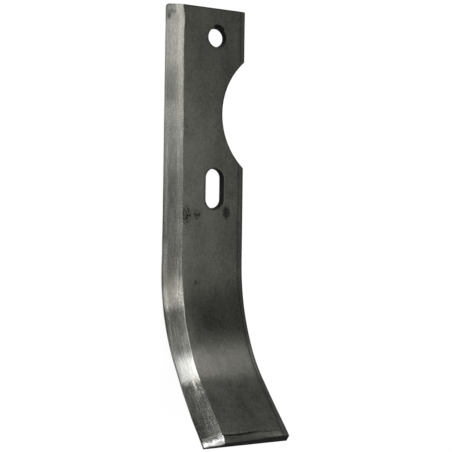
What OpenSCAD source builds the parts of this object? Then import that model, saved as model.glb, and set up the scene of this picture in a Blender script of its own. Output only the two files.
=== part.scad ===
// Tiller blade: a flat steel bar with two bolt holes, a round relief for the rotor hub, a scooped
// soil end and a cutting edge ground along one side.
// The origin is the centre of the round bolt hole on the flat back face. +Y runs to the mounting end,
// +Z points out of the concave face, and the cutting edge lies on the -X side.

/* [Bar] */
// Width of the bar, from the cutting edge to the blunt edge
bar_w = 50; // [45:1:60]
// Thickness of the bar
bar_t = 5; // [4:0.5:8]
// Straight length, from the mounting end to the start of the bend
shank_len = 151; // [140:1:200]
// Radius of the mounting end's corner at the cutting edge
edge_corner_r = 1.5; // [0.5:0.5:4]
// Radius of the mounting end's corner at the blunt edge
blunt_corner_r = 0.6; // [0.2:0.2:4]

/* [Scoop] */
// Radius of the concave face in the bend
bend_r = 89.5; // [60:0.5:140]
// Angle that the bend turns through, in degrees
bend_angle = 47.5; // [20:0.5:70]
// Radius of the concave face in the nearly straight tail
tail_r = 3000; // [200:50:8000]
// Length of the tail along the concave face
tail_len = 39; // [20:1:80]

/* [Bolt holes] */
// Diameter of the round bolt hole
hole_d = 12; // [8:0.5:14]
// From the centre of the round hole to the mounting end
hole_to_end = 17; // [12:0.5:25]
// From the centre of the round hole to the blunt edge
hole_to_edge = 18.5; // [12:0.5:22]
// Width of the slotted hole
slot_w = 12; // [8:0.5:14]
// Length of the slotted hole, end to end
slot_len = 24.5; // [16:0.5:32]
// From the centre of the round hole to the centre of the slot, along the bar
slot_pitch = 90; // [80:1:100]
// Sideways step of the slot towards the cutting edge
slot_step = 0.5; // [0:0.5:4]

/* [Hub relief] */
// Radius of the round relief in the blunt edge
relief_r = 42.5; // [35:0.5:60]
// Depth of the relief below the blunt edge
relief_depth = 14.5; // [6:0.5:18]
// From the centre of the round hole to the middle of the relief, along the bar
relief_pitch = 45.5; // [42:0.5:48]

/* [Cutting edge] */
// Width of the ground bevel
bevel_w = 10.4; // [5:0.1:14]
// Thickness left at the cutting edge
edge_t = 1.2; // [0.6:0.1:2.5]

/* [Dressed edges] */
// Width of the broken corner along the blunt edge
blunt_chamfer_w = 2.4; // [1:0.1:4]
// Depth of the broken corner along the blunt edge
blunt_chamfer_d = 0.4; // [0.3:0.1:1.5]
// Length of the dressed strip across the tip
tip_strip_len = 4.3; // [2:0.1:8]
// Depth of the dressed strip where the face meets the end
tip_strip_d = 1.2; // [0.5:0.1:2.5]
// Depth of the dressed strip where the ground bevel meets the end
tip_bevel_d = 0.6; // [0.2:0.1:1]

/* [Hidden] */
// Cuts run this far past the faces that they open
past = 1;
// Facets of a full turn, for the holes, the relief and the two curved stretches
hole_facets = 64;
sweep_facets = 180;

blunt_x = hole_to_edge;
edge_x = blunt_x - bar_w;
end_y = hole_to_end;
bend_y = end_y - shank_len;
tail_angle = tail_len / tail_r * 180 / PI;
tip_angle = bend_angle + tail_angle;
// Centres that the bend and the tail turn about, in y and z. Both lie on the line through their joint
bend_centre = [bend_y, bar_t + bend_r];
tail_centre = bend_centre + (tail_r - bend_r) * [sin(bend_angle), cos(bend_angle)];

// Outline of the bar's cross-section in x and z, with the ground bevel at the cutting edge
bar_section = [
    [edge_x, 0],
    [edge_x, edge_t],
    [edge_x + bevel_w, bar_t],
    [blunt_x - blunt_chamfer_w, bar_t],
    [blunt_x, bar_t - blunt_chamfer_d],
    [blunt_x, 0],
];

// Moves its children to a point in y and z. The move is made to a hundredth and then by the rest,
// which keeps rounding out of the joint between the two curved stretches
module move_to(point) {
    near = [for (v = point) round(100 * v) / 100];
    translate([0, near[0], near[1]])
        translate([0, point[0] - near[0], point[1] - near[1]])
            children();
}

// One curved stretch of the bar, turned about the x axis. Its angles are 0 straight below the axis and
// grow as the bar climbs away from the shank
module curved_run(face_r, start_angle, angle) {
    rotate([0, 90, 180])
        rotate_extrude(start = start_angle, angle = angle, $fn = sweep_facets)
            polygon([for (p = bar_section) [bar_t + face_r - p[1], -p[0]]]);
}

// Straight stretch that takes the bolt holes
module shank() {
    difference() {
        translate([0, end_y, 0])
            rotate([90, 0, 0])
                linear_extrude(height = shank_len)
                    polygon(bar_section);
        translate([edge_x, end_y, 0])
            end_corner_cut(edge_corner_r);
        translate([blunt_x, end_y, 0])
            mirror([1, 0, 0])
                end_corner_cut(blunt_corner_r);
    }
}

// What the corner at the origin loses to its radius, where the bar lies towards +X and -Y
module end_corner_cut(r) {
    difference() {
        translate([-past, -r, -past])
            cube([r + past, r + past, bar_t + 2 * past]);
        translate([r, -r, -2 * past])
            cylinder(r = r, h = bar_t + 4 * past, $fn = hole_facets);
    }
}

// Bend and tail, with the dressed strip across the tip
module scoop() {
    difference() {
        union() {
            move_to(bend_centre)
                curved_run(bend_r, 0, bend_angle);
            move_to(tail_centre)
                curved_run(tail_r, bend_angle, tail_angle);
        }
        move_to(tail_centre)
            rotate([-tip_angle, 0, 0])
                translate([edge_x + bevel_w, tip_strip_len, -tail_r]) {
                    tip_strip_cut(-bevel_w, bar_w + past, tip_strip_d);
                    rotate([0, -atan2(bar_t - edge_t, bevel_w), 0])
                        tip_strip_cut(-bar_w, bar_w, tip_bevel_d);
                }
    }
}

// What the dressed strip takes off over a width that starts at from_x, down to a depth at the end
module tip_strip_cut(from_x, width, depth) {
    rotate([atan2(depth, tip_strip_len), 0, 0])
        translate([from_x, -bar_w, 0])
            cube([width, bar_w, bar_w]);
}

module round_hole() {
    translate([0, 0, -past])
        cylinder(d = hole_d, h = bar_t + 2 * past, $fn = hole_facets);
}

module slotted_hole() {
    half_run = (slot_len - slot_w) / 2;
    translate([-slot_step, -slot_pitch, -past]) {
        for (side = [-1, 1])
            translate([0, side * half_run, 0])
                cylinder(d = slot_w, h = bar_t + 2 * past, $fn = hole_facets);
        translate([-slot_w / 2, -half_run, 0])
            cube([slot_w, 2 * half_run, bar_t + 2 * past]);
    }
}

module hub_relief() {
    translate([blunt_x - relief_depth + relief_r, -relief_pitch, -past])
        cylinder(r = relief_r, h = bar_t + 2 * past, $fn = 2 * hole_facets);
}

module blade() {
    color([0.24, 0.24, 0.22])
        difference() {
            union() {
                shank();
                scoop();
            }
            round_hole();
            slotted_hole();
            hub_relief();
        }
}

blade();
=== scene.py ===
import functools
import math

import bmesh
import bpy
import numpy as np
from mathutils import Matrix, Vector
from mathutils.geometry import delaunay_2d_cdt


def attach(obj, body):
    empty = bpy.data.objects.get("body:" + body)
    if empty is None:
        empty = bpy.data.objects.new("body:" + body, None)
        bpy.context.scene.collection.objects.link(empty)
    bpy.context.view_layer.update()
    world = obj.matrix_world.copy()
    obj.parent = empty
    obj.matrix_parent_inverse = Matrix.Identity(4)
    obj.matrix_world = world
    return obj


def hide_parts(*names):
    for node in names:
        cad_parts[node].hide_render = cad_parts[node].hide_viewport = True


# Looks of the tiller blade. One detailed mesh stands for the CAD blade, with a worn rolled skin on its
# faces and a bare ground bevel along its cutting edge.
#
# The mesh is drawn on the flat bar and then bent. A flat point is (u, s, n) in millimetres: u runs
# across from the cutting edge, s runs along from the mounting end, and n stands above the back face.

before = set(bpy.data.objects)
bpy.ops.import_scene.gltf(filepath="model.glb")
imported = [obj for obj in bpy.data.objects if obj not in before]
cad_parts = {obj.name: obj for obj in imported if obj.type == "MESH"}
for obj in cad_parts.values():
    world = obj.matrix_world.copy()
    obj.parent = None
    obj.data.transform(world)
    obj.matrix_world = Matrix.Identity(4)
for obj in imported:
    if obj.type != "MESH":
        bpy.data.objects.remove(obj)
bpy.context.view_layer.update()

MM = 0.001

# The bar, as the CAD part has it
BAR_W = 50.0
BAR_T = 5.0
EDGE_X = -31.5
END_Y = 17.0
SHANK_LEN = 151.0
BEND_R = 89.5
BEND_ANGLE = math.radians(47.5)
TAIL_R = 3000.0
TAIL_LEN = 39.0
TAIL_START = SHANK_LEN + BEND_R * BEND_ANGLE
LENGTH = TAIL_START + TAIL_LEN

# Bolt holes, hub relief and corners on the flat bar
HOLE = (31.55, 17.2)
HOLE_R = 5.85
SLOT = (31.15, 107.15)
SLOT_HALF_RUN = 6.25
RELIEF = (78.12, 62.2)
RELIEF_R = 42.5
EDGE_CORNER_R = 1.5
BLUNT_CORNER_R = 0.6
# The punched holes are this much tighter at the back, all round, and each leans this far in u and s there
HOLE_TAPER = 0.43
HOLE_LEAN = (0.12, -0.52)
SLOT_LEAN = (-0.1, -0.4)
NO_LEAN = (0.0, 0.0)

# How far the mounting end was sheared past its true line, and how far out of square the tip was sheared
TOP_OVERCUT = 0.12
TIP_SKEW = 0.55

# Slow swells of the bevel line and of the two long edges, each with its height, its middle and its half
# width along s. The edges' swells come in over this stretch past the mounting end's corners, and fade out
# over it across the two ends
BEVEL_SWELLS = (
    (0.38, 8.5, 4.0),
    (-0.8, 0.0, 3.5),
    (0.14, 66.0, 28.0),
    (0.42, 171.0, 11.0),
    (-0.45, 217.0, 9.0),
)
EDGE_SWELLS = ((0.45, 170.0, 24.0), (0.25, LENGTH, 10.0), (0.35, 245.0, 9.0), (-0.52, 214.0, 11.0))
BLUNT_SWELLS = ((0.08, 140.0, 50.0), (0.48, 260.0, 12.0), (-0.24, 213.0, 12.0), (-0.06, 20.0, 30.0))
SWELL_REACH = 5.0
# Less than this is what they ever take off the cutting edge and off the blunt edge
EDGE_LOSS = 0.6
BLUNT_LOSS = 0.3

# Ground bevel: where it meets the face, how thick it leaves the edge, and how much it bellies
BEVEL_START = 9.63
BEVEL_WIDENING = 0.0044
BEVEL_EDGE_T = 1.2
BEVEL_CROWN = 0.13
CREASE = 0.08
# It widens by this much over this stretch before the tip
BEVEL_FLARE = 0.6
BEVEL_FLARE_RUN = (259.2, 261.6)

# Rolled band along the blunt edge, and the shallow groove where it begins
BAND_W = 2.8
BAND_W_AT_TIP = 2.4
BAND_DROP = 0.3
GROOVE_DEPTH = 0.07
GROOVE_HALF = 0.3

# Dressed strip across the tip: its length, its length at the cutting edge, and the run between the two.
# Then how far its start bows and how deep it is at the tip, each at its own places across
STRIP_LEN = 4.3
STRIP_LEN_AT_EDGE = 5.4
STRIP_EDGE_RUN = 3.5
STRIP_BOW_U = (9.0, 13.0, 24.0, 32.0)
STRIP_BOW = (0.0, 0.85, 0.85, 0.0)
STRIP_DEPTH_U = (0.0, 9.6, 12.0, 16.0, 22.0, 36.0, 46.0, 50.0)
STRIP_DEPTH = (0.0, 2.3, 1.8, 1.45, 1.1, 0.7, 0.15, 0.0)

# Where the bevel's dressing goes over into the face's, and the furrow at the strip's start: where it
# begins, how deep it is, how much deeper towards the bevel, where that ends, and its half width
DRESSING_CHANGE = (11.5, 9.5)
FURROW_START = (10.0, 13.0)
FURROW_DEPTH = 0.08
FURROW_MORE = 0.14
FURROW_MORE_END = (31.0, 23.0)
FURROW_HALF = 0.38

# Mesh: spacing of points on the front, the back, the rims, the long creases and the strip's start
FRONT_STEP = 0.85
BACK_STEP = 1.7
RIM_STEP = 0.7
CREASE_STEP = 0.8
STRIP_STEP = 0.5
# A crease has lines of points this far to either side. It stops this far short of the rims, and this far
# short of the relief
CREASE_HALF = 0.3
CREASE_GAP = 0.35
RELIEF_GAP = 1.0
# Rounding of the rims, and sides of a round hole
OUTER_RIM_R = 0.2
HOLE_RIM_R = 0.18
BACK_RIM_R = 0.15
HOLE_SIDES = 96
# How closely points are welded, and how far past a hole's rim a face may still count as inside the hole
WELD = 1e-6
HOLE_SLACK = 0.003
# Edges that fold more than this stay sharp, unless they are very short
SHARP_ANGLE = math.radians(24)
SHORT_EDGE = 0.25 * MM

# Faces by finish, in the order of the mesh's material slots. The bare steel reaches this far past the
# bevel's line, and its dressing begins this far past the strip's start
SKIN, BEVEL, DRESSED, SHEARED = range(4)
BARE_PAST = 0.12
DRESSED_PAST = 0.1


def ripple(x, period, height, phase=0.0):
    """A wave that never quite repeats, for edges and faces made by hand."""
    turn = 2 * math.pi * np.asarray(x, float) / period + phase
    return height * (np.sin(turn) + 0.6 * np.sin(1.73 * turn + 1.1) + 0.4 * np.sin(2.91 * turn + 2.3)) / 2


def ramp(x, start, end):
    """0 at start, 1 at end, and straight in between."""
    return np.clip((x - start) / (end - start), 0, 1)


def soft_min(a, b, width):
    """The lower of two heights, rounded over where they cross."""
    share = np.clip(0.5 + 0.5 * (b - a) / width, 0, 1)
    return b * (1 - share) + a * share - width * share * (1 - share)


def swells(s, rows):
    """The sum of smooth bumps, at s."""
    return sum(height * np.exp(-(((s - middle) / half_width) ** 2)) for height, middle, half_width in rows)


def bevel_line(s):
    """How far across the bar the bevel reaches, at s."""
    flare = BEVEL_FLARE * ramp(s, *BEVEL_FLARE_RUN)
    ragged = ripple(s, 31, 0.12) + ripple(s, 6.1, 0.015, 0.4)
    return BEVEL_START + BEVEL_WIDENING * s + swells(s, BEVEL_SWELLS) + flare + ragged


def edge_wander(s):
    """How far the hand-ground cutting edge stands out past its true line, at s."""
    return swells(s, EDGE_SWELLS) + ripple(s, 23, 0.04, 1.9)


def tip_line(u):
    """Where the sheared tip ends, at u."""
    return LENGTH + TIP_SKEW * (1 - u / BAR_W)


def band_line(s):
    """Where the rolled band of the blunt edge begins, at s."""
    return BAR_W - np.interp(s, (140, 170), (BAND_W, BAND_W_AT_TIP)) + ripple(s, 47, 0.08)


def strip_line(u):
    """Where the dressed strip of the tip begins, at u."""
    length = STRIP_LEN + ramp(u, STRIP_EDGE_RUN, 0) * (STRIP_LEN_AT_EDGE - STRIP_LEN)
    bow = np.interp(u, STRIP_BOW_U, STRIP_BOW)
    return LENGTH - length + bow + ripple(u, 17, 0.16, 0.7) + ripple(u, 4.3, 0.07)


def front_height(u, s):
    """Height of the front face above the back face at flat points."""
    u, s = np.asarray(u, float), np.asarray(s, float)
    across = u / bevel_line(s)
    rise = across + BEVEL_CROWN * across * (1 - across)
    ground = BEVEL_EDGE_T + (BAR_T - BEVEL_EDGE_T) * rise
    height = soft_min(np.full_like(u, BAR_T), ground, CREASE)

    into_band = u - band_line(s)
    height -= GROOVE_DEPTH * np.exp(-((into_band / GROOVE_HALF) ** 2))
    height -= BAND_DROP * ramp(into_band, 0, BAND_W) ** 2

    into_strip = s - strip_line(u)
    depth = np.interp(u, STRIP_DEPTH_U, STRIP_DEPTH)
    share = ramp(s, strip_line(u), tip_line(u))
    on_bevel = ramp(u, *DRESSING_CHANGE)
    height -= depth * (on_bevel * (0.4 * share + 0.6 * share**6) + (1 - on_bevel) * share**1.5)
    furrow = ramp(u, *FURROW_START) * (FURROW_DEPTH + FURROW_MORE * ramp(u, *FURROW_MORE_END))
    furrow *= 1 + ripple(u, 5.7, 0.5, 2.0)
    height -= furrow * np.exp(-((into_strip / FURROW_HALF) ** 2))
    return height


def bend(flat):
    """Flat points (u, s, n) as they lie on the bent blade, in metres and in the part's frame."""
    u, s, n = np.asarray(flat, float).T
    in_bend = np.clip(s - SHANK_LEN, 0, TAIL_START - SHANK_LEN) / BEND_R
    in_tail = np.clip(s - TAIL_START, 0, None) / TAIL_R
    start = np.array([END_Y - SHANK_LEN, BAR_T + BEND_R])
    turn = in_bend + in_tail
    y = END_Y - np.clip(s, None, SHANK_LEN)
    z = np.full_like(y, start[1])
    radius = np.full_like(y, BEND_R)
    tail = in_tail > 0
    y[tail] += (TAIL_R - BEND_R) * math.sin(BEND_ANGLE)
    z[tail] += (TAIL_R - BEND_R) * math.cos(BEND_ANGLE)
    radius[tail] = TAIL_R
    reach = radius + BAR_T - n
    y -= reach * np.sin(turn)
    z -= reach * np.cos(turn)
    return np.stack([u + EDGE_X, y, z], axis=1) * MM


def spaced(start, end, step, fixed=()):
    """Numbers from start up to end, about a step apart, with the fixed ones among them."""
    stops = sorted({start, end, *[f for f in fixed if start < f < end]})
    out = []
    for a, b in zip(stops, stops[1:]):
        count = max(1, round((b - a) / step))
        out += [a + (b - a) * k / count for k in range(count)]
    return out + [end]


def arc(centre, radius, start, end, step):
    """Points along an arc from one angle to another, in degrees."""
    count = max(3, round(abs(math.radians(end - start)) * radius / step))
    turns = [math.radians(start + (end - start) * k / count) for k in range(count + 1)]
    return [(centre[0] + radius * math.cos(t), centre[1] + radius * math.sin(t)) for t in turns]


def outer_loop():
    """The outline of the flat bar, as a closed loop of (u, s) that starts at the cutting edge's corner."""
    half_chord = math.sqrt(RELIEF_R**2 - (RELIEF[0] - BAR_W) ** 2)
    turn = math.degrees(math.atan2(half_chord, RELIEF[0] - BAR_W))
    relief_start, relief_end = RELIEF[1] - half_chord, RELIEF[1] + half_chord
    top_marks = [float(bevel_line(0.0)), float(band_line(0.0))]
    tip_marks = [float(bevel_line(LENGTH)), float(band_line(LENGTH))]
    edge_marks, blunt_marks = [float(strip_line(0))], [float(strip_line(BAR_W))]

    loop = arc((EDGE_CORNER_R, EDGE_CORNER_R), EDGE_CORNER_R, 180, 270, 0.3)
    loop += [(u, 0.0) for u in spaced(EDGE_CORNER_R, BAR_W - BLUNT_CORNER_R, RIM_STEP, top_marks)][1:]
    loop += arc((BAR_W - BLUNT_CORNER_R, BLUNT_CORNER_R), BLUNT_CORNER_R, 270, 360, 0.2)[1:]
    loop += [(BAR_W, s) for s in spaced(BLUNT_CORNER_R, relief_start, RIM_STEP)][1:]
    loop += arc(RELIEF, RELIEF_R, 180 + turn, 180 - turn, RIM_STEP)[1:]
    loop += [(BAR_W, s) for s in spaced(relief_end, tip_line(BAR_W), RIM_STEP, blunt_marks)][1:]
    loop += [(u, tip_line(u)) for u in spaced(0, BAR_W, RIM_STEP, tip_marks)][::-1][1:]
    loop += [(0.0, s) for s in spaced(EDGE_CORNER_R, tip_line(0), RIM_STEP, edge_marks)][::-1][1:-1]
    return wavy(np.array(loop))


def wavy(loop):
    """The outline with its two long edges swaying, and with the mounting end a little long."""
    u, s = loop.T
    near_edge = ramp(u, SWELL_REACH, 0) * ramp(s, EDGE_CORNER_R, EDGE_CORNER_R + SWELL_REACH)
    near_blunt = ramp(BAR_W - u, SWELL_REACH, 0) * ramp(s, BLUNT_CORNER_R, BLUNT_CORNER_R + SWELL_REACH)
    sway = near_blunt * swells(s, BLUNT_SWELLS) - near_edge * edge_wander(s)
    return np.stack([u + sway, s - TOP_OVERCUT * ramp(s, SWELL_REACH, 0)], axis=1)


def hole_loop():
    return np.array(arc(HOLE, HOLE_R, 360, 0, 2 * math.pi * HOLE_R / HOLE_SIDES)[:-1])


def slot_loop():
    step = 2 * math.pi * HOLE_R / HOLE_SIDES
    near, far = SLOT[1] - SLOT_HALF_RUN, SLOT[1] + SLOT_HALF_RUN
    right, left = SLOT[0] + HOLE_R, SLOT[0] - HOLE_R
    loop = arc((SLOT[0], far), HOLE_R, 180, 0, step)[:-1]
    loop += [(right, s) for s in spaced(near, far, step)][::-1][:-1]
    loop += arc((SLOT[0], near), HOLE_R, 360, 180, step)[:-1]
    loop += [(left, s) for s in spaced(near, far, step)][:-1]
    return np.array(loop)


def inset(loop, depth):
    """The loop moved into the bar by a depth. Loops run so that the bar lies on their left."""
    along = np.roll(loop, -1, axis=0) - loop
    along /= np.linalg.norm(along, axis=1)[:, None]
    normal = np.stack([-along[:, 1], along[:, 0]], axis=1)
    before = np.roll(normal, 1, axis=0)
    middle = normal + before
    middle /= np.linalg.norm(middle, axis=1)[:, None]
    stretch = 1 / np.clip((middle * normal).sum(axis=1), 0.5, 1)
    return loop + middle * (depth * stretch)[:, None]


class FlatMesh:
    """Collects flat points and the faces between them, each with its finish."""

    def __init__(self):
        self.points = []
        self.count = 0
        self.faces = []
        self.finish = []
        self.rim_points = []

    def add_points(self, plane, height):
        """Adds (u, s) points at their heights and gives back their numbers."""
        plane = np.asarray(plane, float)
        self.points.append(np.column_stack([plane, np.broadcast_to(height, len(plane))]))
        self.count += len(plane)
        return np.arange(self.count - len(plane), self.count)

    def add_faces(self, faces, finish):
        self.faces += [tuple(int(i) for i in f) for f in faces]
        self.finish += [int(f) for f in np.broadcast_to(finish, len(faces))]

    def join_loops(self, lower, upper, finish):
        """A ring of faces between two loops with the same number of points."""
        ring = np.stack([lower, np.roll(lower, -1), np.roll(upper, -1), upper], axis=1)
        self.add_faces(ring, finish)


def front_finish(u, s):
    """Which finish the front has at flat points."""
    bare = np.where(s > strip_line(u) + DRESSED_PAST, DRESSED, BEVEL)
    return np.where(u < bevel_line(s) + BARE_PAST, bare, SKIN)


def crease_lines():
    """Lines on the front that the mesh has to follow, as (u, s) points that stop a gap short of the rims."""
    lines = []
    gap = OUTER_RIM_R + CREASE_GAP
    along = np.array(spaced(gap, LENGTH - gap, CREASE_STEP))
    for shift in (-CREASE_HALF, 0.0, CREASE_HALF):
        lines.append(np.column_stack([bevel_line(along) + shift, along]))
    crossing = math.sqrt(RELIEF_R**2 - (RELIEF[0] - BAR_W + BAND_W) ** 2)
    before, after = RELIEF[1] - crossing - RELIEF_GAP, RELIEF[1] + crossing + RELIEF_GAP
    for start, end in ((gap, before), (after, LENGTH - gap)):
        along = np.array(spaced(start, end, CREASE_STEP))
        for shift in (-CREASE_HALF, 0.0, CREASE_HALF):
            lines.append(np.column_stack([band_line(along) + shift, along]))
    across = np.array(spaced(gap, BAR_W - gap, STRIP_STEP))
    for shift in (-FURROW_HALF, 0.0, FURROW_HALF):
        lines.append(np.column_stack([across, strip_line(across) + shift]))
    return lines


def inner_points(step, rim, lines=()):
    """Points of an even three-way grid inside the bar, clear of its rims and of the crease lines."""
    rows = np.arange(rim + step, LENGTH - rim, step * math.sqrt(3) / 2)
    points = []
    for k, s in enumerate(rows):
        shift = step / 2 if k % 2 else 0.0
        points += [(u, s) for u in np.arange(rim + 0.6 * step + shift, BAR_W - rim - 0.4 * step, step)]
    points = np.array(points)
    u, s = points.T
    clear = 0.5 * step + rim
    keep = np.hypot(u - RELIEF[0], s - RELIEF[1]) > RELIEF_R + clear
    keep &= np.hypot(u - HOLE[0], s - HOLE[1]) > HOLE_R + clear
    along_slot = np.clip(s - SLOT[1], -SLOT_HALF_RUN, SLOT_HALF_RUN)
    keep &= np.hypot(u - SLOT[0], s - SLOT[1] - along_slot) > HOLE_R + clear
    keep &= s < LENGTH - clear
    corner = np.minimum(u, s) < EDGE_CORNER_R + clear
    keep &= ~(corner & (np.maximum(u, s) < EDGE_CORNER_R + clear))
    if len(lines):
        room = CREASE_HALF + 0.45 * step
        keep &= abs(u - bevel_line(s)) > room
        keep &= abs(u - band_line(s)) > room
        keep &= abs(s - strip_line(u)) > room
    return points[keep]


def fill(mesh, loops, hole_r, leans, height_of, step, rim, finish_of, lines=()):
    """Fills the bar's front or back between loops that are in the mesh already, along the lines.

    The loops of the hole and the slot have the radius hole_r and lie off their places by the two leans."""
    plane, numbers, edges = [], [], []
    for loop_numbers, loop in loops:
        start = len(plane)
        plane += [tuple(p) for p in loop]
        numbers += list(loop_numbers)
        edges += [(start + k, start + (k + 1) % len(loop)) for k in range(len(loop))]
    rim_count = len(plane)
    rim_points = np.array(plane)
    for line in lines:
        start = len(plane)
        plane += [tuple(p) for p in line]
        edges += [(start + k, start + k + 1) for k in range(len(line) - 1)]
        for end, place in ((start, line[0]), (start + len(line) - 1, line[-1])):
            nearest = int(np.argmin(np.hypot(*(rim_points - place).T)))
            edges.append((nearest, end))
    plane += [tuple(p) for p in inner_points(step, rim, lines)]

    inside_only = 1
    made, _, faces, origin, _, _ = delaunay_2d_cdt([Vector(p) for p in plane], edges, [], inside_only, WELD)
    made = np.array([tuple(p) for p in made])
    number_of = np.full(len(made), -1)
    for k, sources in enumerate(origin):
        rims = [i for i in sources if i < rim_count]
        if rims:
            number_of[k] = numbers[rims[0]]
    new = number_of < 0
    number_of[new] = mesh.add_points(made[new], height_of(*made[new].T))

    faces = np.array(faces)
    u, s = made[faces].mean(axis=1).T
    hole_lean, slot_lean = leans
    from_slot = s - SLOT[1] - slot_lean[1]
    along_slot = np.clip(from_slot, -SLOT_HALF_RUN, SLOT_HALF_RUN)
    solid = np.hypot(u - HOLE[0] - hole_lean[0], s - HOLE[1] - hole_lean[1]) > hole_r + HOLE_SLACK
    solid &= np.hypot(u - SLOT[0] - slot_lean[0], from_slot - along_slot) > hole_r + HOLE_SLACK
    mesh.add_faces(number_of[faces[solid]], finish_of(u[solid], s[solid]))


def wall_of(loop):
    """The outer wall's finish: ground at the cutting edge, rolled at the blunt edge, and else sheared."""
    u, s = ((loop + np.roll(loop, -1, axis=0)) / 2).T
    ground, rolled = u < EDGE_LOSS, u > BAR_W - BLUNT_LOSS
    return np.where((ground | rolled) & (s < LENGTH - 0.05), np.where(ground, BEVEL, SKIN), SHEARED)


def add_rim(mesh, loop, radius, taper, lean, wall_finish):
    """Walls and rounded rims along one loop. Gives back the innermost loops of the front and the back.

    On its way to the back the wall closes in by the taper and moves by the lean."""
    front, back = [], []
    for share in (0, 1 / 3, 2 / 3, 1):
        turn = share * math.pi / 2
        line = inset(loop, radius * (1 - math.cos(turn)))
        height = front_height(*line.T) - radius * (1 - math.sin(turn))
        front.append((mesh.add_points(line, height), line))
    for share in (1, 0.5, 0):
        turn = share * math.pi / 2
        line = inset(loop, BACK_RIM_R * (1 - math.cos(turn)) - taper) + lean
        back.append((mesh.add_points(line, BACK_RIM_R * (1 - math.sin(turn))), line))
    mesh.rim_points += [number for numbers, _ in front for number in numbers]
    for (lower, _), (upper, line) in zip(front, front[1:]):
        middle = (line + np.roll(line, -1, axis=0)) / 2
        finish = front_finish(*middle.T) if wall_finish == SKIN else SKIN
        mesh.join_loops(lower, upper, finish)
    mesh.join_loops(back[-1][0], front[0][0], wall_finish if wall_finish != SKIN else wall_of(loop))
    for (lower, _), (upper, _) in zip(back, back[1:]):
        mesh.join_loops(lower, upper, SKIN)
    return front[-1], back[0]


def draw_flat_blade():
    """The whole blade on the flat bar: rims and walls first, and then the front and the back between them."""
    flat = FlatMesh()
    fronts, backs = [], []
    for loop, radius, taper, lean, finish in (
        (outer_loop(), OUTER_RIM_R, 0.0, NO_LEAN, SKIN),
        (hole_loop(), HOLE_RIM_R, HOLE_TAPER, HOLE_LEAN, SHEARED),
        (slot_loop(), HOLE_RIM_R, HOLE_TAPER, SLOT_LEAN, SHEARED),
    ):
        front, back = add_rim(flat, loop, radius, taper, lean, finish)
        fronts.append(front)
        backs.append(back)
    lines = crease_lines()
    front_hole_r = HOLE_R + HOLE_RIM_R
    back_hole_r = HOLE_R - HOLE_TAPER + BACK_RIM_R
    front_leans, back_leans = (NO_LEAN, NO_LEAN), (HOLE_LEAN, SLOT_LEAN)
    fill(flat, fronts, front_hole_r, front_leans, front_height, FRONT_STEP, OUTER_RIM_R, front_finish, lines)
    fill(flat, backs, back_hole_r, back_leans, lambda u, s: 0 * u, BACK_STEP, BACK_RIM_R, lambda u, s: SKIN)
    return flat


def build_blade():
    """The detailed blade as one closed mesh, in metres."""
    flat = draw_flat_blade()
    points = np.concatenate(flat.points)
    mesh = bpy.data.meshes.new("tiller_blade")
    mesh.from_pydata(bend(points).tolist(), [], flat.faces)
    mesh.polygons.foreach_set("material_index", flat.finish)
    for name, values in (("developed", points), ("marks", shade_lines_and_marks(points, flat.rim_points))):
        attribute = mesh.attributes.new(name, "FLOAT_VECTOR", "POINT")
        attribute.data.foreach_set("vector", values.astype(np.float32).ravel())
    add_brush_direction(mesh, points)
    close_up(mesh)
    blade = bpy.data.objects.new("tiller_blade", mesh)
    bpy.context.scene.collection.objects.link(blade)
    weigh = blade.modifiers.new("even_shading", "WEIGHTED_NORMAL")
    weigh.keep_sharp = True
    return blade


def shade_lines_and_marks(points, rim_points):
    """What the materials need to know at each point, as three values in one.

    The first is 1 in the dark lines of the front, which are painted shade in the strip's furrow and the
    band's groove, the second is 1 on the front's rims, and the third is how far the point lies past the start
    of the dressed strip, in millimetres."""
    u, s, n = points.T
    into_strip = s - strip_line(u)
    furrow = np.interp(u, FURROW_DARK_U, FURROW_DARK) * np.exp(-((into_strip / FURROW_DARK_HALF) ** 2))
    groove = GROOVE_DARK * np.exp(-(((u - band_line(s)) / GROOVE_DARK_HALF) ** 2))
    dark = np.maximum(furrow, groove) * (n > BAR_T / 5)
    rim = np.zeros(len(points))
    rim[rim_points] = 1
    return np.stack([dark, rim, into_strip], axis=1)


def add_brush_direction(mesh, points):
    """A map whose first axis runs across the bar, for the stretched gloss of the brushed bevel."""
    layer = mesh.uv_layers.new(name="brushed")
    corners = np.zeros(len(mesh.loops), np.int32)
    mesh.loops.foreach_get("vertex_index", corners)
    layer.data.foreach_set("uv", (points[corners, :2] / BAR_W).astype(np.float32).ravel())


def close_up(mesh):
    """Turns every face outwards and shades the mesh smooth, apart from its sharp edges."""
    work = bmesh.new()
    work.from_mesh(mesh)
    bmesh.ops.recalc_face_normals(work, faces=work.faces)
    for face in work.faces:
        face.smooth = True
    for edge in work.edges:
        edge.smooth = edge.calc_face_angle(0.0) < SHARP_ANGLE or edge.calc_length() < SHORT_EDGE
    work.to_mesh(mesh)
    work.free()


# Dark lines of the front, painted shade: the furrow of the dressed strip, this dark at these places across,
# and the groove of the rolled band, each with its half width
FURROW_DARK_U = (9.5, 12.0, 28.0, 36.0, BAR_W)
FURROW_DARK = (0.0, 1.0, 0.9, 0.4, 0.3)
FURROW_DARK_HALF = 0.8
GROOVE_DARK = 0.5
GROOVE_DARK_HALF = 0.5

# Looks. Most of a noise's values fill this stretch, and most of a sum of noises fills the second one
NOISE = (0.3, 0.7)
TONE = (0.37, 0.63)

# Smudges on the front: middle and half size on the flat bar, and strength
SMUDGES = (
    ((13.0, 123.0), (2.9, 5.0), 1.0),
    ((19.7, 122.9), (2.4, 3.0), 0.9),
    ((39.0, 121.0), (2.3, 3.8), 1.0),
    ((19.2, 162.5), (0.9, 1.3), 0.6),
    ((32.0, 10.8), (2.5, 1.2), 1.5),
    ((34.5, 12.3), (1.5, 1.4), 1.5),
)

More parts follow.
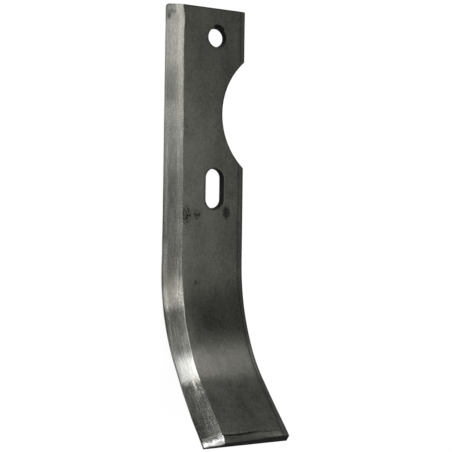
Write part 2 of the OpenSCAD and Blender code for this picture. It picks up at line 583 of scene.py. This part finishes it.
# Chatter of the grinding wheel: length of one tick, and middle and half size of its patches
CHATTER_PITCH = 0.9
CHATTER_PATCHES = (((5.2, 67.0), (2.6, 6.5)), ((5.2, 104.5), (2.8, 6.0)))


def feed(tree, node, name, value):
    """Sets an input of a node: a link where the value is another node's output, and else a plain value."""
    if isinstance(value, bpy.types.NodeSocket):
        tree.links.new(value, node.inputs[name])
    else:
        node.inputs[name].default_value = value


def new_node(tree, kind, inputs=None, **settings):
    """A new node with its settings and inputs."""
    node = tree.nodes.new(kind)
    for name, value in settings.items():
        setattr(node, name, value)
    for name, value in (inputs or {}).items():
        feed(tree, node, name, value)
    return node


class Nodes:
    """One material, its flat coordinates and marks, and short ways to add nodes to it."""

    def __init__(self, name):
        self.material = bpy.data.materials.new(name)
        self.material.use_nodes = True
        self.tree = self.material.node_tree
        self.shader = self.tree.nodes["Principled BSDF"]
        self.flat = self.add("ShaderNodeAttribute", attribute_name="developed").outputs["Vector"]
        marks = self.add("ShaderNodeAttribute", attribute_name="marks").outputs["Vector"]
        self.u, self.s, self.height = self.add("ShaderNodeSeparateXYZ", {0: self.flat}).outputs
        self.dark_line, self.on_rim, self.into_strip = self.add("ShaderNodeSeparateXYZ", {0: marks}).outputs

    def add(self, kind, inputs=None, **settings):
        return new_node(self.tree, kind, inputs, **settings)

    def finish(self, looks):
        """Sets the shader's inputs and gives back the material."""
        for name, value in looks.items():
            feed(self.tree, self.shader, name, value)
        return self.material

    def math(self, operation, *values, clamp=False):
        node = self.add("ShaderNodeMath", dict(enumerate(values)), operation=operation, use_clamp=clamp)
        return node.outputs[0]

    def times(self, *values):
        """The values multiplied."""
        return functools.reduce(lambda a, b: self.math("MULTIPLY", a, b), values)

    def plus(self, a, b):
        return self.math("ADD", a, b)

    def minus(self, a, b):
        return self.math("SUBTRACT", a, b)

    def highest(self, *values):
        """The highest of the values."""
        return functools.reduce(lambda a, b: self.math("MAXIMUM", a, b), values)

    def total(self, *weighted):
        """Adds up values, each times its weight."""
        return functools.reduce(self.plus, [self.times(value, weight) for value, weight in weighted])

    def grain(self, across, along, through=None, detail=2.0, roughness=0.5, offset=0.0):
        """Noise from 0 to 1 whose lumps have these sizes in millimetres on the flat bar."""
        rates = [1 / size for size in (across, along, through or across)]
        scaled = self.add("ShaderNodeVectorMath", {0: self.flat, 1: rates}, operation="MULTIPLY")
        moved = self.add("ShaderNodeVectorMath", {0: scaled.outputs[0], 1: [offset] * 3}, operation="ADD")
        inputs = {"Vector": moved.outputs[0], "Scale": 1.0, "Detail": detail, "Roughness": roughness}
        return self.add("ShaderNodeTexNoise", inputs).outputs[0]

    def between(self, value, low, high, to_low=0.0, to_high=1.0):
        """Maps a value's stretch from low to high smoothly onto another stretch, and stops at its ends."""
        inputs = {"Value": value, "From Min": low, "From Max": high, "To Min": to_low, "To Max": to_high}
        return self.add("ShaderNodeMapRange", inputs, interpolation_type="SMOOTHSTEP", clamp=True).outputs[0]

    def band(self, value, start, full, full_end, end, height=1.0):
        """Rises from 0 at start to its height, stays there, and falls back to 0 at end."""
        rise = self.between(value, start, full, 0.0, height)
        return self.times(rise, self.between(value, full_end, end, 1.0, 0.0))

    def mix(self, share, a, b):
        """A colour that goes from a to b."""
        a, b = ((*c, 1.0) if isinstance(c, tuple) else c for c in (a, b))
        return self.add("ShaderNodeMix", {0: share, 6: a, 7: b}, data_type="RGBA").outputs[2]

    def scale(self, colour, factor):
        """A colour times a value."""
        return self.add("ShaderNodeVectorMath", {0: colour, "Scale": factor}, operation="SCALE").outputs[0]

    def lighter(self, colour, share):
        return self.scale(colour, self.plus(share, 1.0))

    def darker(self, colour, share):
        return self.scale(colour, self.minus(1.0, share))

    def patch(self, centre, half_size, softness=0.5, ragged=0.5):
        """1 inside a ragged oval patch of the flat bar, fading to 0 outside it."""
        u = self.math("DIVIDE", self.minus(self.u, centre[0]), half_size[0])
        s = self.math("DIVIDE", self.minus(self.s, centre[1]), half_size[1])
        far = self.math("SQRT", self.plus(self.times(u, u), self.times(s, s)))
        rough = self.times(self.minus(self.grain(1.1, 1.1, detail=3.0), 0.5), 2 * ragged)
        return self.between(self.plus(far, rough), 1 - softness, 1 + softness, 1.0, 0.0)

    def bump(self, height, depth_mm, under=None):
        """Relief of this depth, on top of another bump."""
        inputs = {"Height": height, "Strength": 1.0, "Distance": depth_mm * MM}
        if under is not None:
            inputs["Normal"] = under
        return self.add("ShaderNodeBump", inputs).outputs[0]


def skin_dirt(n):
    """Smudges that are broken up into specks below the slot, and less so towards the blunt edge."""
    smudges = [n.times(n.patch(middle, half_size), strength) for middle, half_size, strength in SMUDGES]
    specks = n.between(n.grain(0.8, 0.9, detail=2.0, offset=2.6), 0.4, 0.56)
    above_slot_end = n.between(n.s, 100.0, 101.0, 1.0, 0.0)
    in_bend = n.between(n.s, 150.0, 151.0)
    blunt_side = n.between(n.u, 27.5, 29.5, 0.0, 0.6)
    return n.times(n.highest(*smudges), n.highest(specks, above_slot_end, blunt_side, in_bend))


def skin_lighter_stretches(n):
    """Where the skin is lighter: along the dressed strip, and along the middle of the rolled band."""
    strip = n.times(n.between(n.into_strip, 0.9, 1.9), n.band(n.u, 14.0, 24.0, 30.0, 40.0, 0.8))
    low_strip = n.times(n.between(n.into_strip, 1.5, 2.6), n.band(n.u, 10.8, 13.0, 32.0, 38.0, 0.75))
    return n.highest(strip, low_strip, n.band(n.u, 47.4, 48.4, 48.8, 49.6, 0.4))


def skin_shine(n, tone):
    """How glossy the skin is: less in a slanting patch of the bend and on the tail, and more by the bevel."""
    aside = n.minus(n.u, 30.0)
    patch_start = n.between(n.total((n.s, 1.0), (aside, 0.3)), 162.0, 178.0, 0.0, 0.55)
    patch_end = n.between(n.total((n.s, 1.0), (aside, -0.2)), 188.0, 199.0, 1.0, 0.0)
    bend_patch = n.times(patch_start, patch_end, n.between(n.u, 13.0, 24.0))
    tail_patch = n.times(n.between(n.s, 222.0, 230.0), n.band(n.u, 18.0, 27.0, 33.0, 42.0, 0.25))
    by_bevel = n.times(n.band(n.s, 158.0, 166.0, 192.0, 202.0, 0.4), n.between(n.u, 11.0, 17.0, 1.0, 0.0))
    return n.times(
        n.between(tone, *TONE, 0.72, 1.0),
        n.between(n.s, 222.0, 238.0, 1.0, 0.62),
        n.between(n.s, 25.0, 70.0, 0.85, 1.0),
        n.minus(1.0, n.highest(bend_patch, tail_patch)),
        n.plus(1.0, by_bevel),
    )


def skin_material():
    """Dark rolled and hardened skin: almost black oxide with a satin face, clouds, grain and smudges, and
    painted shade in its furrow and groove.
    """
    n = Nodes("rolled_skin")
    clouds = n.grain(14, 26, detail=3.0)
    mottle = n.grain(1.5, 2.2, detail=3.0, roughness=0.6, offset=5.0)
    grain = n.grain(0.45, 0.6, detail=2.0, roughness=0.6)
    streaks = n.grain(0.7, 22, detail=2.0, offset=9.0)
    tone = n.total((clouds, 0.28), (mottle, 0.26), (grain, 0.38), (streaks, 0.08))
    colour = n.mix(n.between(tone, *TONE), (0.006, 0.0062, 0.0053), (0.036, 0.0369, 0.0315))

    on_front = n.between(n.height, 2.0, 2.5)
    dark_rim = n.times(n.on_rim, n.between(n.u, 46.0, 49.5, 0.55, 0.0))
    # Darker in smudges and at the rims, and painted shade in the dark lines of the furrow and the groove
    dark = n.highest(n.times(skin_dirt(n), on_front), n.highest(dark_rim, n.dark_line))
    colour = n.mix(dark, colour, (0.003, 0.003, 0.0026))
    colour = n.mix(n.times(skin_lighter_stretches(n), on_front), colour, (0.052, 0.052, 0.047))

    in_glint = n.band(n.s, 198.0, 207.0, 218.0, 227.0)
    pits = n.bump(grain, 0.008)
    looks = {
        "Base Color": colour,
        "Metallic": 0.0,
        "Specular Tint": n.mix(in_glint, (0.97, 1.0, 0.84), (1.0, 0.985, 0.885)),
        "Specular IOR Level": n.times(skin_shine(n, tone), n.between(dark, 0.0, 1.0, 1.0, 0.1)),
        "Roughness": n.between(n.grain(5, 9, detail=4.0, offset=4.0), *NOISE, 0.21, 0.27),
        "Normal": n.bump(clouds, 0.03, pits),
    }
    return n.finish(looks)


def bevel_steel(n, hair, streaks, blotches):
    """The colour of the bare steel, with fine streaks along the edge, and a painted highlight in the bend's
    glint.
    """
    speckle = n.grain(0.5, 0.8, detail=2.0, offset=11.0)
    tone = n.total((hair, 0.38), (speckle, 0.38), (streaks, 0.15), (blotches, 0.09))
    contrast = n.between(n.s, 50.0, 150.0, 0.7, 1.2)
    share = n.math("ADD", n.times(n.minus(n.between(tone, 0.36, 0.64), 0.5), contrast), 0.5, clamp=True)
    colour = n.mix(share, (0.225, 0.225, 0.203), (0.475, 0.475, 0.43))
    # Painted highlight: a lighter, more even colour where the bend's glint falls
    return n.mix(n.band(n.s, 200.0, 208.0, 220.0, 224.0, 0.6), colour, (0.44, 0.44, 0.425))


def bevel_wear_and_shade(n):
    """How much brighter the bevel is along its edge and its crease, and how much duller elsewhere: wear, and
    painted shade in the bend.
    """
    u, s = n.u, n.s
    land = n.plus(n.band(s, 60.0, 85.0, 136.0, 144.0, 0.34), n.band(s, 136.0, 144.0, 155.0, 164.0, 1.05))
    land = n.highest(land, n.band(s, 160.0, 170.0, 176.0, 180.5, 0.75))
    land = n.times(land, n.between(u, 1.8, 3.3, 1.0, 0.0))
    line = n.times(n.band(s, 60.0, 85.0, 190.0, 205.0, 0.16), n.band(u, 1.8, 2.3, 2.5, 3.2))
    crease = n.times(n.between(u, 5.6, 8.2, 0.0, 0.32), n.between(s, 192.0, 204.0, 1.0, 0.2))
    dull = n.times(n.band(s, 34.0, 44.0, 54.0, 60.0, 0.26), n.between(u, 4.0, 8.0, 1.0, 0.3))
    bright = n.highest(
        n.band(s, 56.0, 62.0, 68.0, 74.0, 0.14),
        n.band(s, 82.0, 86.0, 92.0, 97.0, 0.04),
        n.band(s, 143.0, 153.0, 164.0, 174.0, 0.3),
        n.band(s, 188.0, 195.0, 198.0, 203.0, 0.22),
    )
    worn = n.times(n.band(s, 94.0, 101.0, 115.0, 124.0, 0.26), n.between(u, 1.8, 3.6))
    top = n.highest(
        n.times(n.band(s, 6.0, 13.0, 30.0, 38.0, 0.21), n.between(u, 7.5, 9.0, 1.0, 0.2)),
        n.times(n.between(s, 3.0, 9.0, 1.0, 0.0), n.band(u, 4.3, 6.0, 7.2, 8.4, 0.5)),
    )
    # Painted shade across the bevel in the bend
    painted_bend_shade = n.highest(
        n.times(n.band(s, 176.0, 179.0, 183.0, 188.0, 0.36), n.between(u, 2.5, 4.5)),
        n.times(n.band(s, 171.0, 181.0, 190.0, 198.0, 0.62), n.between(u, 4.6, 8.2)),
    )
    bare_edge = n.times(n.band(s, 8.0, 14.0, 60.0, 72.0, 0.45), n.between(u, 0.4, 1.0, 1.0, 0.0))
    wear = n.minus(land, line)
    for brighter, duller in ((crease, dull), (bright, worn), (top, painted_bend_shade)):
        wear = n.minus(n.plus(wear, brighter), duller)
    return n.plus(wear, bare_edge)


def bevel_chatter(n, hair):
    """Fine ticks across the bevel, plus and minus, in the patches where the grinding wheel chattered."""
    ticks = n.math("SINE", n.times(n.s, 2 * math.pi / CHATTER_PITCH))
    patches = n.highest(*(n.patch(middle, half_size, 0.8, 0.8) for middle, half_size in CHATTER_PATCHES))
    return n.times(ticks, patches, n.between(hair, 0.35, 0.65, 0.05, 0.26))


def bevel_stained(n, colour, blotches):
    """The bevel's colour with a dull stretch, a warm stain at the bend and a smear at the mounting end."""
    dull = n.times(n.band(n.s, 28.0, 42.0, 60.0, 76.0, 0.5), n.between(blotches, 0.35, 0.6))
    colour = n.mix(dull, colour, n.scale(colour, 0.94))
    warm = n.patch((3.0, 162.0), (3.4, 12.0), softness=0.8, ragged=0.7)
    colour = n.mix(n.times(warm, 0.6), colour, (0.30, 0.268, 0.222))
    across = n.times(n.patch((2.8, 4.3), (2.5, 1.2), 0.6, 0.8), 0.5)
    down = n.times(n.patch((1.6, 6.8), (0.9, 2.1), 0.6, 0.6), 0.85)
    return n.mix(n.highest(across, down), colour, (0.09, 0.09, 0.08))


def bevel_tarnish_and_shade(n):
    """How much tarnish and painted shade darken the tail past the bend's glint. It starts in ragged flames,
    and leaves bright specks.
    """
    flame = n.band(n.u, 6.1, 6.7, 7.1, 7.6, 9.0)
    lick = n.between(n.grain(0.7, 5.0, detail=3.0, offset=21.0), *NOISE, -2.0, 2.0)
    specks = n.times(
        n.between(n.grain(0.6, 0.9, detail=1.0, offset=31.0), 0.5, 0.62),
        n.between(n.s, 224.0, 244.0, 0.95, 0.3),
        n.between(n.u, 4.2, 5.6, 0.5, 1.0),
    )
    cover = n.times(n.between(n.minus(n.minus(n.s, flame), lick), 222.6, 225.6), n.minus(1.0, specks))
    rubbed = n.times(n.band(n.u, 4.4, 5.5, 7.2, 8.4, 0.6), n.between(n.s, 230.0, 242.0, 1.0, 0.0))
    rubbed = n.plus(rubbed, n.times(n.between(n.u, 2.5, 5.5), n.between(n.s, 250.5, 256.0, 0.0, 0.15)))
    strength = n.times(n.between(n.s, 232.0, 254.0, 0.46, 0.83), n.minus(1.0, rubbed))
    return n.times(cover, strength)


def bevel_material():
    """Bare steel, ground and brushed along the edge, and tarnished past the bend, with painted highlights and
    shade.
    """
    n = Nodes("ground_bevel")
    hair = n.grain(0.36, 9.0, detail=3.0, roughness=0.65)
    streaks = n.grain(0.9, 30, detail=3.0, roughness=0.55, offset=3.0)
    blotches = n.grain(2.2, 9.0, detail=3.0, offset=7.0)
    colour = n.lighter(bevel_steel(n, hair, streaks, blotches), bevel_wear_and_shade(n))
    colour = n.lighter(colour, bevel_chatter(n, hair))
    colour = bevel_stained(n, colour, blotches)
    # Darker past the bend's glint: tarnish, and painted shade that shapes the glint's ragged end
    colour = n.darker(colour, bevel_tarnish_and_shade(n))
    # Painted highlight: a bright lick of the bend's glint in its ragged end
    colour = n.lighter(colour, n.times(n.patch((6.9, 224.8), (0.6, 2.6), 0.5, 0.4), 1.2))

    # Painted shade: greyer in the glint by the edge, and in its last corner by the crease
    grey_edge = n.times(n.band(n.s, 203.0, 208.0, 216.0, 221.0, 0.34), n.between(n.u, 1.2, 3.2, 1.0, 0.0))
    grey_corner = n.times(n.band(n.s, 216.5, 219.5, 221.0, 223.0, 0.18), n.between(n.u, 7.6, 8.8))
    colour = n.darker(colour, n.highest(grey_edge, grey_corner))
    colour = n.darker(colour, n.times(n.on_rim, n.band(n.s, 90.0, 120.0, 190.0, 206.0, 0.5)))

    marks = n.bump(n.grain(0.16, 14, detail=3.0, roughness=0.6), 0.006)
    looks = {
        "Base Color": colour,
        "Metallic": 1.0,
        "Anisotropic": 0.8,
        "Roughness": n.between(streaks, *NOISE, 0.2, 0.26),
        "Tangent": n.add("ShaderNodeTangent", direction_type="UV_MAP", uv_map="brushed").outputs[0],
        "Normal": n.bump(n.grain(0.5, 0.9, detail=2.0, offset=17.0), 0.007, marks),
    }
    return n.finish(looks)


def dressed_material():
    """The last few millimetres of the bevel, ground once more, with painted light and shade: dark at the
    strip's start, and bright towards the tip and by the crease.
    """
    n = Nodes("dressed_tip")
    hair = n.grain(0.9, 0.3, detail=3.0)
    start = n.plus(n.into_strip, n.between(n.grain(0.8, 1.0, detail=3.0), *NOISE, -0.6, 0.6))
    # Painted highlight and shade: the colour goes from dark at the strip's start to bright further on and by
    # the crease
    bright = n.between(n.minus(start, n.between(n.u, 3.0, 7.5, 0.55, 0.0)), 1.1, 2.9)
    by_crease = n.times(n.between(n.u, 7.5, 9.8, 0.0, 0.65), n.between(start, -0.3, 0.6))
    low = n.mix(n.between(hair, *NOISE), (0.1, 0.1, 0.092), (0.19, 0.19, 0.176))
    high = n.mix(n.between(hair, *NOISE), (0.8, 0.8, 0.78), (0.96, 0.96, 0.94))
    dull_rim = n.times(n.on_rim, n.between(n.u, 3.0, 8.0, 0.7, 0.1))
    looks = {
        "Base Color": n.darker(n.mix(n.highest(bright, by_crease), low, high), dull_rim),
        "Metallic": 1.0,
        "Roughness": n.between(n.grain(1.5, 1.5), *NOISE, 0.3, 0.4),
        "Normal": n.bump(hair, 0.01),
    }
    return n.finish(looks)


def sheared_material():
    """Walls that were punched or sheared: torn steel gone black."""
    n = Nodes("sheared_wall")
    tears = n.grain(0.5, 0.5, 4.0, detail=3.0)
    looks = {
        "Base Color": n.mix(n.between(tears, *NOISE), (0.0015, 0.0015, 0.0013), (0.006, 0.006, 0.0055)),
        "Specular IOR Level": 0.25,
        "Roughness": 0.6,
        "Normal": n.bump(tears, 0.05),
    }
    return n.finish(looks)


# Studio
CAMERA_PLACE = (-0.24518, -0.12077, 0.50889)
CAMERA_TURN = (0.4870, -26.6369, 0.8951)
CAMERA_LENS = 75.377
SENSOR_WIDTH = 36.0
FLOOR_SIZE = 12.0
# The floor's colour to the blade, and what the camera sees of it: a dark colour that takes the shadow,
# and a glow
FLOOR_COLOUR = (0.8, 0.8, 0.8, 1.0)
SEEN_FLOOR_COLOUR = (0.12, 0.12, 0.12, 1.0)
SEEN_FLOOR_GLOW = 0.95

# Softboxes: the height of those overhead, and how far the standing ones are from the bend (its y and z)
CEILING = 1.1
BACK_DISTANCE = 1.1
BEND_PLACE = (-0.19, 0.03)

# How bright the room is for plain surfaces, and how bright its walls and its ceiling look in metal. One
# goes over into the other between these two rises of the direction
ROOM_LIGHT = 0.58
WALL_IN_METAL = 0.15
CEILING_IN_METAL = 0.35
WALL_TOP = 0.15
CEILING_START = 0.45


def add_camera():
    data = bpy.data.cameras.new("photo_camera")
    data.lens = CAMERA_LENS
    data.sensor_width = SENSOR_WIDTH
    camera = bpy.data.objects.new("photo_camera", data)
    camera.location = CAMERA_PLACE
    camera.rotation_euler = [math.radians(a) for a in CAMERA_TURN]
    bpy.context.scene.collection.objects.link(camera)
    bpy.context.scene.camera = camera


def add_softbox(name, place, aim, width, height, radiance):
    """A soft lamp that looks this bright in a mirror, whatever its size."""
    data = bpy.data.lights.new(name, "AREA")
    data.shape = "RECTANGLE"
    data.size = width
    data.size_y = height
    data.energy = radiance * math.pi * width * height
    lamp = bpy.data.objects.new(name, data)
    lamp.location = place
    lamp.rotation_euler = (Vector(aim) - Vector(place)).to_track_quat("-Z", "Y").to_euler()
    lamp.visible_camera = False
    bpy.context.scene.collection.objects.link(lamp)


def add_ceiling_softbox(name, x_range, y_range, radiance):
    """A softbox that hangs level over the blade."""
    x, y = sum(x_range) / 2, sum(y_range) / 2
    size = (x_range[1] - x_range[0], y_range[1] - y_range[0])
    add_softbox(name, (x, y, CEILING), (x, y, 0.0), *size, radiance)


def add_back_softbox(name, x_range, rise, radiance):
    """A softbox that stands past the mounting end and faces the bend, between two elevations in degrees."""
    middle = math.radians(sum(rise) / 2)
    height = 2 * BACK_DISTANCE * math.tan(math.radians(rise[1] - rise[0]) / 2)
    aim = Vector((sum(x_range) / 2, BEND_PLACE[0], BEND_PLACE[1]))
    place = aim + BACK_DISTANCE * Vector((0, math.cos(middle), math.sin(middle)))
    add_softbox(name, place, aim, x_range[1] - x_range[0], height, radiance)


def add_world():
    """White to the camera, and a plain pale studio to everything else."""
    world = bpy.data.worlds.new("studio")
    bpy.context.scene.world = world
    world.use_nodes = True
    tree = world.node_tree
    tree.nodes.clear()

    # Mirrored in the metal, the walls are dark and the ceiling is brighter
    direction = new_node(tree, "ShaderNodeTexCoord").outputs["Generated"]
    rise = new_node(tree, "ShaderNodeSeparateXYZ", {0: direction}).outputs[2]
    levels = {"Value": rise, "From Min": WALL_TOP, "From Max": CEILING_START}
    levels |= {"To Min": WALL_IN_METAL, "To Max": CEILING_IN_METAL}
    in_metal = new_node(tree, "ShaderNodeMapRange", levels, interpolation_type="SMOOTHSTEP")

    rays = new_node(tree, "ShaderNodeLightPath").outputs
    sharp = {0: rays["Is Glossy Ray"], 1: rays["Is Transmission Ray"]}
    sharp_rays = new_node(tree, "ShaderNodeMath", sharp, operation="MAXIMUM").outputs[0]
    soft = new_node(tree, "ShaderNodeBackground", {"Strength": ROOM_LIGHT}).outputs[0]
    mirrored = new_node(tree, "ShaderNodeBackground", {"Strength": in_metal.outputs[0]}).outputs[0]
    seen = new_node(tree, "ShaderNodeBackground", {"Strength": 1.0}).outputs[0]
    room = new_node(tree, "ShaderNodeMixShader", {0: sharp_rays, 1: soft, 2: mirrored}).outputs[0]
    whole = new_node(tree, "ShaderNodeMixShader", {0: rays["Is Camera Ray"], 1: room, 2: seen}).outputs[0]
    new_node(tree, "ShaderNodeOutputWorld", {0: whole})


def plane(name, corners):
    mesh = bpy.data.meshes.new(name)
    mesh.from_pydata(corners, [], [(0, 1, 2, 3)])
    made = bpy.data.objects.new(name, mesh)
    bpy.context.scene.collection.objects.link(made)
    return made


def add_floor():
    """A pale floor that looks white to the camera and keeps the blade's soft shadow."""
    half = FLOOR_SIZE / 2
    floor = plane("floor", [(-half, -half, 0), (half, -half, 0), (half, half, 0), (-half, half, 0)])
    material = bpy.data.materials.new("pale_floor")
    material.use_nodes = True
    tree = material.node_tree
    tree.nodes.clear()
    is_camera_ray = new_node(tree, "ShaderNodeLightPath").outputs["Is Camera Ray"]
    plain = new_node(tree, "ShaderNodeBsdfDiffuse", {"Color": FLOOR_COLOUR}).outputs[0]
    seen = new_node(tree, "ShaderNodeBsdfDiffuse", {"Color": SEEN_FLOOR_COLOUR}).outputs[0]
    glow = new_node(tree, "ShaderNodeEmission", {"Strength": SEEN_FLOOR_GLOW}).outputs[0]
    bright = new_node(tree, "ShaderNodeAddShader", {0: seen, 1: glow}).outputs[0]
    mixed = new_node(tree, "ShaderNodeMixShader", {0: is_camera_ray, 1: plain, 2: bright}).outputs[0]
    new_node(tree, "ShaderNodeOutputMaterial", {0: mixed})
    floor.data.materials.append(material)


def add_studio():
    add_world()
    add_floor()
    add_back_softbox("back_softbox_left", (-0.9, -0.05), (12.2, 26.8), 1.5)
    add_back_softbox("back_softbox_middle", (-0.05, 0.2), (12.2, 27.0), 5.4)
    add_back_softbox("back_softbox_right", (0.2, 0.58), (9.8, 31.0), 3.3)
    add_back_softbox("back_softbox_far", (0.95, 1.5), (4.0, 35.0), 0.9)
    add_back_softbox("back_softbox_top", (0.2, 0.6), (31.0, 45.0), 0.4)
    add_back_softbox("back_softbox_rise", (-0.05, 0.2), (28.0, 62.0), 1.0)
    add_ceiling_softbox("edge_softbox", (-0.55, -0.15), (0.12, 0.42), 0.95)
    add_ceiling_softbox("edge_softbox_end", (-0.55, -0.15), (0.02, 0.12), 0.5)
    add_ceiling_softbox("edge_softbox_fade", (-0.55, -0.15), (-0.08, 0.02), 0.15)
    add_ceiling_softbox("tip_softbox", (0.0, 0.25), (0.3, 0.95), 2.2)
    add_ceiling_softbox("face_softbox", (0.30, 0.48), (-0.35, 0.10), 2.35)
    add_ceiling_softbox("face_softbox_end", (0.20, 0.48), (0.10, 0.30), 1.3)


bpy.context.scene.view_settings.view_transform = "Standard"
add_camera()
add_studio()
blade = build_blade()
for material in (skin_material(), bevel_material(), dressed_material(), sheared_material()):
    blade.data.materials.append(material)
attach(blade, "root")
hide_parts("blade")
